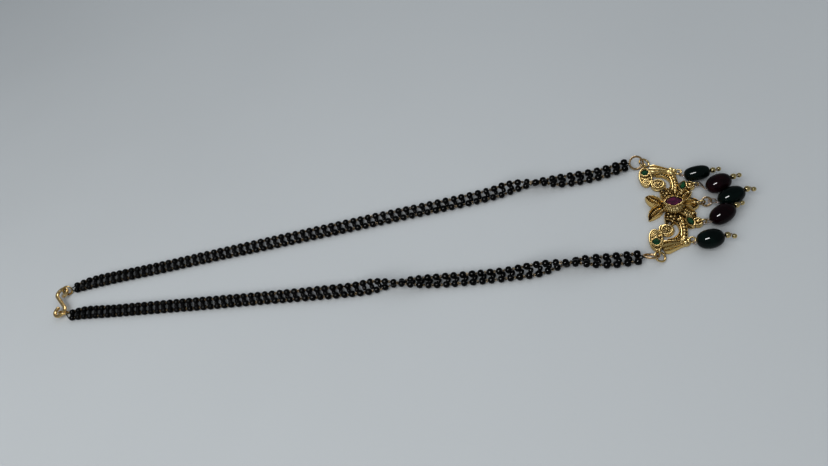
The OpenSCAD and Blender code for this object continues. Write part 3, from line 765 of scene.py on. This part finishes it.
class Relief:
    """The pendant's parts and granules as they are added, mirrored where side is -1."""

    def __init__(self, side, parts, granules):
        self.side, self.parts, self.granules = side, parts, granules

    def point(self, x, y, z=0.0):
        return worn(self.side * x, y, z)

    def oval(self, c, a, b, z, count, start=0.0):
        """A closed oval round c, in the pendant's own plane."""
        return [self.point(*about(c, a, b, start + 360 * k / count), z) for k in range(count)]

    def pointed(self, c, a, b, z, count, turn):
        """A closed pointed oval round c, with its points on its own x axis."""
        t = math.radians(turn)
        out = []
        for k in range(count):
            upper = k < count / 2
            s = 1 - 4 * k / count if upper else -3 + 4 * k / count
            x, y = a * s, (1 if upper else -1) * b * max(1 - s * s, 0) ** 0.8
            out.append(self.point(c[0] + x * math.cos(t) - y * math.sin(t),
                                  c[1] + x * math.sin(t) + y * math.cos(t), z))
        return out

    def boss(self, c, a, b, count, profile):
        self.parts.append(stacked(self.oval(c, a, b, 0, count), profile))

    def rim(self, c, a, b, z, count, thick):
        self.parts.append(wire(self.oval(c, a, b, z, count), thick, 10, closed=True))

    def granule(self, x, y, z, r):
        self.granules.append((self.point(x, y, z), r))

    def granules_on(self, points, r):
        self.granules += [(p, r) for p in points]

    def leaves(self):
        for u, v, azimuth, length, width, height, bend, shape, ribs in LEAVES:
            leaf = Leaf(self.side, spot(u, v), azimuth, length, width, height, bend, shape)
            self.parts.append(leaf.relief(ARM_SECTION if shape is ARM else PETAL_SECTION))
            (self.seams if shape is ARM else self.veins)(leaf)
            rows = bent_line(*leaf.course, 20)
            for k in range(ribs):
                x, y, _ = rows[int(mix(7, 15, k / (ribs - 1)))]
                self.granule(x, y, height * 0.84, mix(0.34, 0.22, k / ribs))

    def veins(self, leaf):
        """Slanting veins on a broad petal, and fine granules along its rim or its grooves."""
        broad = leaf.width > 3
        for k in range(7 if broad else 0):
            t = mix(0.16, 0.74, k / 6)
            for way in (1, -1):
                points = [leaf.point(t + 0.13 * u, way * u, rise)
                          for u, rise in ((0.08, 0.76), (0.3, 0.56), (0.5, 0.5), (0.76, 0.88))]
                self.parts.append(wire(points, 0.3, 6, widths=[0.6, 1, 1, 0.6]))
        u, rise, r = (0.88, 1.0, 0.19) if broad else (0.45, 0.5, 0.2)
        count = int(leaf.length / 0.5)
        for k in range(count):
            t = mix(0.14, 0.88, k / (count - 1))
            self.granules_on([leaf.point(t, way * u, rise) for way in (1, -1)], r)

    def seams(self, leaf):
        """Granules in the grooves between an end arm's reeds, thickest towards the corner."""
        for u in (-0.64, 0, 0.64):
            for k in range(13):
                t = 0.04 + 0.84 * k / 12
                self.granules_on([leaf.point(t, u, 0.6)], 0.25 - 0.1 * t)

    def volute(self):
        self.boss(VOLUTE, 3.78, 1.93, 40, VOLUTE_PROFILE)
        self.rim(VOLUTE, 3.66, 1.81, 1.24, 48, 0.58)
        self.granules_on(self.oval(VOLUTE, 3.2, 1.4, 1.12, 34), 0.19)
        c = (VOLUTE[0] - 0.35, VOLUTE[1])
        for reach in (0.42, 0.62, 0.82):
            level = 1.62 - 0.42 * reach
            arc = [self.point(*about(c, 3.3 * reach, 1.55 * reach, mix(112, 248, k / 14)), level)
                   for k in range(15)]
            self.parts.append(wire(arc, 0.5, widths=[mix(0.5, 1, math.sin(math.pi * k / 14))
                                                     for k in range(15)]))
        for dx, dy, r in ((-0.95, -1.05, 0.42), (2.35, -0.95, 0.38), (-1.1, 1.1, 0.3), (2.5, 0.75, 0.3)):
            self.granule(VOLUTE[0] + dx, VOLUTE[1] + dy, 1.5, r)
        self.boss(ROUND_STONE, 1.52, 1.52, 28, CUP_PROFILE)
        self.granules_on(self.oval(ROUND_STONE, 1.5, 1.5, 1.62, 18), 0.19)
        self.granules_on(self.oval(ROUND_STONE, 1.2, 1.2, 2.02, 4, 45), 0.24)

    def spiral(self):
        self.boss(SPIRAL, 2.28, 2.28, 36, SPIRAL_PROFILE)
        coil = []
        for k in range(49):
            r = mix(1.22, 2.06, k / 48)
            coil.append(self.point(*about(SPIRAL, r, r, mix(40, 500, k / 48)), 1.2))
        self.parts.append(wire(coil, 0.5, 10, widths=[mix(0.7, 1, min(k / 16, 1)) for k in range(49)]))
        self.granule(*SPIRAL, 1.22, 0.46)
        self.granules_on(self.oval(SPIRAL, 0.76, 0.76, 1.12, 6, 15), 0.29)
        self.granules_on(self.oval(SPIRAL, 1.62, 1.62, 1.06, 22), 0.17)

    def rail(self, course, count, width, height):
        points = [self.point(x, y) for x, y, _ in bent_line(*course, count)]
        self.parts.append(ribbon(points, [(x * width, z * height) for x, z in RAIL_SECTION]))

    def rails(self):
        """The rail round the spiral, and the beaded band from the corner to the middle."""
        ring = ((SPIRAL[0] - RAIL_R, SPIRAL[1]), -90, RAIL_R * math.radians(RAIL_TURN), RAIL_TURN)
        self.rail(ring, 36, 0.74, 1.34)
        self.granules_on([self.point(x, y, 0.9) for x, y, _ in bent_line(*ring, 36)[1:-1:2]], 0.26)
        band = (spot(0.79, -0.51), -160, 0.48 * HALF_SPAN, -34)
        self.rail(band, 24, 1, 1.17)
        self.granules_on([self.point(x, y, 1.12) for x, y, _ in bent_line(*band, 8)], 0.58)

    def corner_and_rosette(self):
        self.boss(CORNER, 1.58, 1.58, 28, CORNER_PROFILE)
        self.granules_on(self.oval(CORNER, 1.42, 1.42, 0.92, 14), 0.24)
        self.boss(ROSETTE, 1.56, 1.56, 28, ROSETTE_PROFILE)
        self.rim(ROSETTE, 1.22, 1.22, 1.38, 32, 0.5)
        self.granule(*ROSETTE, 1.25, 0.62)
        self.granules_on(self.oval(ROSETTE, 1.42, 1.42, 1.05, 8, 20), 0.2)

    def long_setting(self):
        self.parts.append(stacked(self.pointed(LONG_STONE, 2.06, 1.22, 0, 32, LONG_TURN), LONG_PROFILE))
        self.granules_on(self.pointed(LONG_STONE, 2.0, 1.16, 1.3, 22, LONG_TURN), 0.19)

    def eye(self, c, z, lean, azimuth):
        self.parts.append(torus(EYE_R, EYE_WIRE, 32, 10, self.point(*c, z), (lean, 0, azimuth)))

    def half(self):
        self.leaves()
        for u, v, r, top in GRANULES:
            self.granule(*spot(u, v), max(top - r, r), r)
        self.volute()
        self.spiral()
        self.rails()
        self.corner_and_rosette()
        self.long_setting()
        leaf = Leaf(self.side, (2.55, TAIL[1] + 3.95), -116, 3.45, 1.19, 1.54, -22, ARM)
        self.parts.append(leaf.relief(RAIL_SECTION, 10))
        self.eye(END_EYE, UPRIGHT_EYE_Z, 90, 90)
        self.eye(INNER_EYE, UPRIGHT_EYE_Z, 90, 180)
        self.eye(OUTER_EYE, FLAT_EYE_Z, 0, 0)

    def collar(self):
        """The fluted collar of sixteen tongues round the pointed setting of the red stone."""
        fluted = []
        for k in range(96):
            azimuth = 360 * k / 96
            swell = 1 + 0.065 * math.cos(math.radians(TONGUES * azimuth))
            fluted.append(self.point(*about(RUBY, COLLAR_A * swell, COLLAR_B * swell, azimuth)))
        self.parts.append(stacked(fluted, COLLAR_PROFILE))
        for k in range(TONGUES):
            points = [self.point(*about(RUBY, COLLAR_A * share, COLLAR_B * share, 360 * k / TONGUES), z)
                      for share, z in TONGUE_PROFILE]
            self.parts.append(wire(points, 0.62, widths=[0.6, 1, 0.95, 0.75, 0.5]))
        self.granules_on(self.oval(RUBY, 3.3, 2.86, 1.78, TONGUES, 180 / TONGUES), 0.22)
        self.parts.append(stacked(self.pointed(RUBY, 3.04, 1.92, 0, 48, 90), BEZEL_PROFILE))
        self.granules_on(self.pointed(RUBY, 3.02, 1.9, 2.92, 40, 90), 0.2)
        for dx, dy in ((0, 2.62), (0, -2.62), (1.35, 1.25), (-1.35, 1.25), (1.35, -1.25), (-1.35, -1.25)):
            self.granule(RUBY[0] + dx, RUBY[1] + dy, 3.34, 0.26)

    def tail(self):
        leaf = Leaf(1, TAIL_LEAF, -90, 4.55, 3.25, 1.86, 0, PETAL)
        self.parts.append(leaf.relief(PETAL_SECTION))
        for k in range(4):
            self.granule(0, TAIL_LEAF[1] - 2.9 - k * 0.42, 1.55 - k * 0.05, 0.26 - 0.02 * k)
        for y in (1.21, 2.0):
            self.granule(0, TAIL[1] + y, RELIEF * (0.79 + y / 8) - 0.5, 0.5)
        self.eye(TAIL, UPRIGHT_EYE_Z, 90, 180)


class MANGALSUTRA_OT_pendant(bpy.types.Operator):
    """Solders the pendant together from leaves, volutes, spirals, rails, settings and granules"""
    bl_idname = "mangalsutra.pendant"
    bl_label = "Make the pendant"

    def execute(self, context):
        tones = context.scene.mangalsutra_gold
        parts, granules = [], []
        for side in SIDES.values():
            Relief(side, parts, granules).half()
        middle = Relief(1, parts, granules)
        middle.collar()
        middle.tail()
        parts.append(strewn(sphere(1, 10, 7), [at(p, r) for p, r in granules], "granules"))
        piece = joined(parts, "pendant_filigree", 50)
        painted(piece, gold("pendant_gold", tones.light, tones.deep, tones.hollow_shade, tones.rough))
        placed(piece, "pendant")
        return {"FINISHED"}


# The stones

class MANGALSUTRA_OT_stones(bpy.types.Operator):
    """Gives the five cut stones their colour and polish"""
    bl_idname = "mangalsutra.stones"
    bl_label = "Set the stones"

    def execute(self, context):
        red = cut_stone("red_stone", (0.026, 0.001, 0.013), (0.1, 0.004, 0.044))
        green = cut_stone("green_stone", (0.0008, 0.012, 0.005), (0.002, 0.075, 0.022))
        for name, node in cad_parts.items():
            if name == "ruby" or name.startswith("emerald"):
                painted(node, red if name == "ruby" else green)
        return {"FINISHED"}


# The drops

TAIL_RING = Vector((-TAIL[1] + 1.3, 0, 1.25))


def tie_at(eye, z, side=1):
    return Vector((-eye[1], side * eye[0], z))


# Where each hangs from, how far beyond it its bead's middle lies in bead lengths, how far that
# is from the middle line in half spans and in bead diameters, azimuth, length share, diameter
# share, turn of its end ball, fullness of its outline (less is squarer), and its glass
DROPS = [
    (tie_at(OUTER_EYE, FLAT_EYE_Z), 0.64, 0.4, 0.674, 0, 0.95, 0.81, 13, 0.6, "green"),
    (tie_at(INNER_EYE, UPRIGHT_EYE_Z), 0.795, 0.2, 0.328, 20, 0.97, 1, -6, 0.9, "maroon"),
    (TAIL_RING + Vector((0.9, 0, 0)), 0.744, 0, -0.01, 20, 1.02, 0.97, -25, 0.9, "green"),
    (tie_at(INNER_EYE, UPRIGHT_EYE_Z, -1), 0.667, -0.2, -0.509, 30, 1.02, 0.98, -6, 0.9, "maroon"),
    (tie_at(OUTER_EYE, FLAT_EYE_Z, -1), 0.564, -0.4, -1.38, 6, 0.97, 1, -20, 0.85, "green")]
# The name of each glass's material, its slot, and the colour of its streaks
GLASS = {"green": ("dark_green_glass", "dark_green_glass", (0.002, 0.008, 0.0065)),
         "maroon": ("dark_maroon_glass", "dark_red_glass", (0.014, 0.002, 0.004))}
DROP_PITCH, BEAD_BORE, LOOP_W = 7, 1.1, 1.3
BALL_D, END_BALL_D, DROP_WIRE = 1.8, 1.5, 0.36


class Drop:
    """Where one drop lies, in millimetres from the pendant's middle."""

    def __init__(self, row, sizes):
        self.tie, beyond, spans, widths, self.azimuth, l, d, turn, self.full, self.tint = row
        self.length, self.width = sizes.bead_l / MM * l, sizes.bead_d / MM * d
        pitch = math.radians(DROP_PITCH)
        z = math.hypot(self.length / 2 * math.sin(pitch), self.width / 2 * math.cos(pitch)) + 0.03
        self.middle = Vector((self.tie.x + beyond * sizes.bead_l / MM,
                              spans * HALF_SPAN + widths * sizes.bead_d / MM, z))
        self.way = heading(self.azimuth, DROP_PITCH)
        self.reach = self.length / 2 + BALL_D / 2 - 0.05
        self.end = (self.middle + self.way * self.reach
                    + heading(self.azimuth + turn, -8) * ((BALL_D + END_BALL_D) / 2 + 0.15))

    def outline(self, count=24):
        """The bead's outline from its bore out and back, closed along the bore."""
        a = math.acos(min(BEAD_BORE / self.width, 1) ** (1 / self.full))
        angles = [mix(-a, a, i / count) for i in range(count + 1)]
        return [(self.width / 2 * math.cos(t) ** self.full, self.length / 2 * math.sin(t)) for t in angles]

    def loop(self, mouth):
        """The wire's way round what the drop hangs from: over and under a flat eye, and level
        through an upright one."""
        if self.tie.z < (FLAT_EYE_Z + UPRIGHT_EYE_Z) / 2:
            u = Vector((mouth.x - self.tie.x, mouth.y - self.tie.y, 0)).normalized()
            ring, r = self.tie + u * EYE_R, (EYE_WIRE + DROP_WIRE) / 2 + 0.12
            turns = [math.radians(b) for b in range(90, 271, 30)]
            return ([ring + u * 0.45 + Vector((0, 0, r + 0.1))]
                    + [ring + r * (math.cos(b) * u + Vector((0, 0, math.sin(b)))) for b in turns]
                    + [ring + u * 0.5 - Vector((0, 0, r - 0.1))])
        half = (LOOP_W + DROP_WIRE) / 2
        bow = [about((half - 0.35, 0), -half, half, b) for b in range(60, -61, -20)]
        flat = [(1.4, half * 0.8), (half - 0.35, half), *bow, (half - 0.35, -half), (1.4, -half * 0.8)]
        return [self.tie + Vector((x, y, 0)) for x, y in flat]

    def wire_line(self):
        """Out of the end ball, through ball and bead, round the loop and back."""
        mouth = self.middle - self.way * (self.length / 2 + 0.3)
        inside = self.middle - self.way * self.length * 0.3
        outlet = self.middle + self.way * (self.reach + BALL_D / 2 + 0.05)
        leg = heading(self.azimuth + 90) * DROP_WIRE * 0.6
        loop = flowing([mouth + leg, *self.loop(mouth), mouth - leg], 5)
        return [self.end + leg, outlet + leg, inside + leg, *loop, inside - leg, outlet - leg, self.end - leg]


class MANGALSUTRA_OT_drops(bpy.types.Operator):
    """Hangs the five glass drops on their doubled wires"""
    bl_idname = "mangalsutra.drops"
    bl_label = "Hang the drops"

    def execute(self, context):
        sizes = context.scene.mangalsutra_drops
        glass = {tint: drop_glass(name, getattr(sizes, tint), edge)
                 for tint, (name, _, edge) in GLASS.items()}
        metal, thin = plated("drop_gold"), plated("drop_wire_gold")
        for i, row in enumerate(DROPS, 1):
            drop = Drop(row, sizes)
            bead = turned(drop.outline(), 56)
            bead.matrix_world = at(lying(*drop.middle), way=drop.way)
            bead = painted(joined([bead], f"glass_drop_{i}", 60), glass[drop.tint])
            placed(bead, f"drop_{i}_bead")

            end = lying(*drop.end)
            doubled = wire([lying(*p) for p in drop.wire_line()], DROP_WIRE)
            ball = sphere(END_BALL_D * 0.48, 24, 16, end)
            piece = painted(joined([doubled, ball], f"drop_wire_{i}", 60), thin)
            piece.data.materials.append(metal)
            for face in piece.data.polygons:
                face.material_index = int(0.46 < (face.center - end).length / (END_BALL_D * MM) < 0.51)
            placed(piece, f"drop_{i}_wire")
            painted(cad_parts[f"drop_{i}_ball"], metal)
        return {"FINISHED"}


# Rings and hook

# How a split ring is wound, and how the links and the clasp's rings lie
SPLIT = {"turns": 1.96, "step": 0.11, "start": 30}
LINK_LEAN, LINK_TURN, CLASP_LEAN = 44, 10, 55


def ring_line(centre, radius, azimuth, lean, turns, step, start):
    """A line round a ring that leans about the level line at azimuth, in metres.
    Halfway it steps out and up, so that a second turn lies beside the first."""
    place = (Matrix.Translation(lying(*centre)) @ Matrix.Rotation(math.radians(azimuth), 4, "Z")
             @ Matrix.Rotation(math.radians(lean), 4, "X"))
    out = []
    count = int(48 * turns)
    for k in range(count + 1):
        t = k / count
        off = step * math.tanh((t - 0.5) * 16)
        x, y = about((0, 0), radius + off, radius + off, start + 360 * turns * t)
        out.append(place @ (Vector((x, y, off)) * MM))
    return out


def leaning_z(radius, lean):
    """The middle's height of a leaning split ring that lies on the surface."""
    return radius * math.sin(math.radians(lean)) + SPLIT_WIRE / 2


class MANGALSUTRA_OT_rings(bpy.types.Operator):
    """Bends the jump rings, and the doubled rings that hold the strings"""
    bl_idname = "mangalsutra.rings"
    bl_label = "Bend the rings"

    def execute(self, context):
        bright, brown = plated("ring_gold"), plated("link_gold")

        def bend(name, node, finish, thick, sides, *shape, **turns):
            """shape is the ring's centre, radius, azimuth and lean."""
            piece = joined([wire(ring_line(*shape, **turns), thick, sides)], name, 60)
            placed(painted(piece, finish), node)

        bend("centre_jump_ring", "centre_ring", brown, 0.5, 12, TAIL_RING, 1.3, 0, 45,
             turns=1.96, step=0.07, start=200)
        for tag, side in SIDES.items():
            bend(f"end_jump_ring_{tag}", f"end_ring_{tag}", bright, END_RING_WIRE, 12,
                 (END_RING_X, side * END_RING_Y, UPRIGHT_EYE_Z), END_RING_R, 90, 25,
                 turns=0.975, step=0.02, start=115)
        for tag, side in SIDES.items():
            bend(f"end_split_link_{tag}", f"end_link_{tag}", brown, 0.5, 10,
                 (LINK_X, side * END_RING_Y, leaning_z(LINK_R, LINK_LEAN)), LINK_R,
                 side * LINK_TURN, side * LINK_LEAN, **SPLIT)
        for tag, (hook_end, azimuth) in CLASP_ENDS.items():
            centre = hook_end + heading(azimuth) * CLASP_RING_OUT
            centre.z = leaning_z(CLASP_RING_R, CLASP_LEAN)
            bend(f"clasp_split_ring_{tag}", f"clasp_ring_{tag}", bright, 0.5, 10,
                 centre, CLASP_RING_R, azimuth, SIDES[tag] * CLASP_LEAN, **SPLIT)
        return {"FINISHED"}


HOOK_HALF, HOOK_R, HOOK_LEVEL, HOOK_WIRE, HOOK_BALL_R = 4.7, 2.3, 1.77, 1.43, 0.786


class MANGALSUTRA_OT_hook(bpy.types.Operator):
    """Bends the S hook of the clasp"""
    bl_idname = "mangalsutra.hook"
    bl_label = "Bend the hook"

    def execute(self, context):
        top, foot = (CLASP_ENDS[tag][0] for tag in SIDES)
        lie = top - foot
        turn = Matrix.Rotation(math.atan2(lie.y, lie.x) - math.pi / 2, 3, "Z")
        meet = math.degrees(math.acos(HOOK_R / HOOK_HALF))
        path = []
        for y, a, b in ((HOOK_HALF, -58, 270 - meet), (-HOOK_HALF, 90 - meet, -238)):
            for k in range(31):
                p = Vector((*about((0, y), HOOK_R, HOOK_R, mix(a, b, k / 30)), HOOK_LEVEL))
                path.append(lying(*((top + foot) / 2 + turn @ p)))
        parts = [wire(path, HOOK_WIRE, 16)]
        parts += [sphere(HOOK_BALL_R, 20, 14, path[end]) for end in (0, -1)]
        piece = painted(joined(parts, "s_hook", 60), plated("hook_gold"))
        placed(piece, "clasp_hook")
        return {"FINISHED"}


# The stage

def facing(right, back):
    """The turn that takes x to right and z to back."""
    return Matrix((right, back.cross(right), back)).transposed().to_euler()


def soft_light(name, place, aim, width, height, power, colour, mirrors=(), along=(1, 0, 0)):
    """A flat light, its long side along the given way. It only lights, or where mirrors are
    given it is only seen as a mirror image in those pieces."""
    put_down()
    bpy.ops.object.light_add(type="AREA", location=place)
    lamp = bpy.context.object
    lamp.name = name
    lamp.data.shape = "RECTANGLE"
    lamp.data.size, lamp.data.size_y = width, height
    lamp.data.energy = power
    lamp.data.color = colour
    back = (Vector(place) - Vector(aim)).normalized()
    long_side = Vector(along)
    long_side = (long_side - back * long_side.dot(back)).normalized()
    lamp.rotation_euler = facing(long_side, back)
    lamp.visible_glossy, lamp.visible_diffuse = bool(mirrors), not mirrors
    if mirrors:
        group = bpy.data.collections.new(name + "_receivers")
        for piece in mirrors:
            group.objects.link(piece)
        lamp.light_linking.receiver_collection = group


CAMERA_PLACE = (87.1, -112.05, 160.5)
CAMERA_WAY, CAMERA_UP = Vector((-0.3006, 0.5568, -0.7744)), Vector((0.0957, 0.8254, 0.5564))


class MANGALSUTRA_OT_stage(bpy.types.Operator):
    """Lays out the pale surface, the soft lights and the camera"""
    bl_idname = "mangalsutra.stage"
    bl_label = "Set the stage"

    def execute(self, context):
        look = context.scene.mangalsutra_stage
        put_down()
        bpy.ops.mesh.primitive_grid_add(x_subdivisions=8, y_subdivisions=8, size=4, location=(0, 0, -0.00005))
        floor = laid_in(context.object)
        floor.name = "pale_floor"
        floor.data.materials.append(pale_surface("pale_surface", look.floor))

        power = look.strength
        soft_light("overhead_softbox", (-0.2, -0.5, 0.7), (-0.02, 0, 0), 1.2, 1.0, power, (1.0, 0.99, 0.97))
        soft_light("back_fill", (0.35, 0.5, 0.7), (0, 0, 0), 1.2, 1.0, power * 0.3, (0.95, 0.97, 1.0))
        world = bpy.data.worlds.new("dim_room")
        world.use_nodes = True
        colour, strength = world.node_tree.nodes["Background"].inputs[:2]
        colour.default_value = (0.5, 0.55, 0.6, 1)
        strength.default_value = 0.5
        context.scene.world = world

        put_down()
        bpy.ops.object.camera_add(location=Vector(CAMERA_PLACE) * MM)
        camera = context.object
        forward = CAMERA_WAY.normalized()
        camera.rotation_euler = facing(forward.cross(CAMERA_UP).normalized(), -forward)
        camera.data.lens, camera.data.sensor_width = 25.0, 36.0
        camera.data.clip_start, camera.data.clip_end = 0.005, 20
        context.scene.camera = camera
        context.scene.view_settings.view_transform = "Standard"
        context.scene.view_settings.gamma = 0.8
        return {"FINISHED"}


WINDOW_PLACE, WINDOW_AIM, WINDOW_ALONG = (0.01, -0.13, 0.27), (0.12, 0, 0), (0.925, 0.368, -0.094)


class MANGALSUTRA_OT_glints(bpy.types.Operator):
    """Sets the small windows whose mirror images make the glints on glass and on gold"""
    bl_idname = "mangalsutra.glints"
    bl_label = "Set the glints"

    def execute(self, context):
        power = context.scene.mangalsutra_stage.strength
        meshes = [o for o in context.scene.objects if o.type == "MESH"]
        glassy = [o for o in meshes if o.name.startswith(("glass_drop", "beads_"))]
        golden = [o for o in meshes if o not in glassy
                  and not o.name.startswith(("pale_floor", "ruby", "emerald"))]
        pendant_and_rings = [o for o in golden if not o.name.startswith("drop_")]
        soft_light("window_on_glass", WINDOW_PLACE, WINDOW_AIM, 0.15, 0.07, power * 0.2,
                   (1.0, 1.0, 1.0), glassy, WINDOW_ALONG)
        soft_light("window_on_gold", WINDOW_PLACE, WINDOW_AIM, 0.16, 0.08, power * 0.015,
                   (0.84, 0.95, 1.3), golden, WINDOW_ALONG)
        soft_light("side_card_on_gold", (-0.02, 0.33, 0.24), (0.04, 0, 0), 0.4, 0.24, power * 0.1,
                   (0.95, 0.98, 1.1), pendant_and_rings)
        return {"FINISHED"}


# Panel and start

GROUPS = {"mangalsutra_gold": MangalsutraGold, "mangalsutra_strings": MangalsutraStrings,
          "mangalsutra_drops": MangalsutraDrops, "mangalsutra_stage": MangalsutraStage}
STEPS = (MANGALSUTRA_OT_stage, MANGALSUTRA_OT_strings, MANGALSUTRA_OT_pendant, MANGALSUTRA_OT_stones,
         MANGALSUTRA_OT_drops, MANGALSUTRA_OT_rings, MANGALSUTRA_OT_hook, MANGALSUTRA_OT_glints)


class MANGALSUTRA_PT_bench(bpy.types.Panel):
    """The steps and sizes of the mangalsutra"""
    bl_label = "Mangalsutra"
    bl_space_type = "VIEW_3D"
    bl_region_type = "UI"
    bl_category = "Mangalsutra"

    def draw(self, context):
        for step in STEPS:
            self.layout.operator(step.bl_idname)
        for name, group in GROUPS.items():
            box = self.layout.box()
            for size in group.__annotations__:
                box.prop(getattr(context.scene, name), size)


def register():
    for thing in (*GROUPS.values(), *STEPS, MANGALSUTRA_PT_bench):
        bpy.utils.register_class(thing)
    for name, group in GROUPS.items():
        setattr(bpy.types.Scene, name, PointerProperty(type=group))


def unregister():
    for name in GROUPS:
        delattr(bpy.types.Scene, name)
    for thing in (MANGALSUTRA_PT_bench, *reversed(STEPS), *GROUPS.values()):
        bpy.utils.unregister_class(thing)


def main():
    register()
    bpy.ops.mangalsutra.stage()
    bpy.ops.mangalsutra.strings()
    bpy.ops.mangalsutra.pendant()
    bpy.ops.mangalsutra.stones()
    bpy.ops.mangalsutra.drops()
    bpy.ops.mangalsutra.rings()
    bpy.ops.mangalsutra.hook()
    bpy.ops.mangalsutra.glints()


if __name__ == "__main__":
    main()
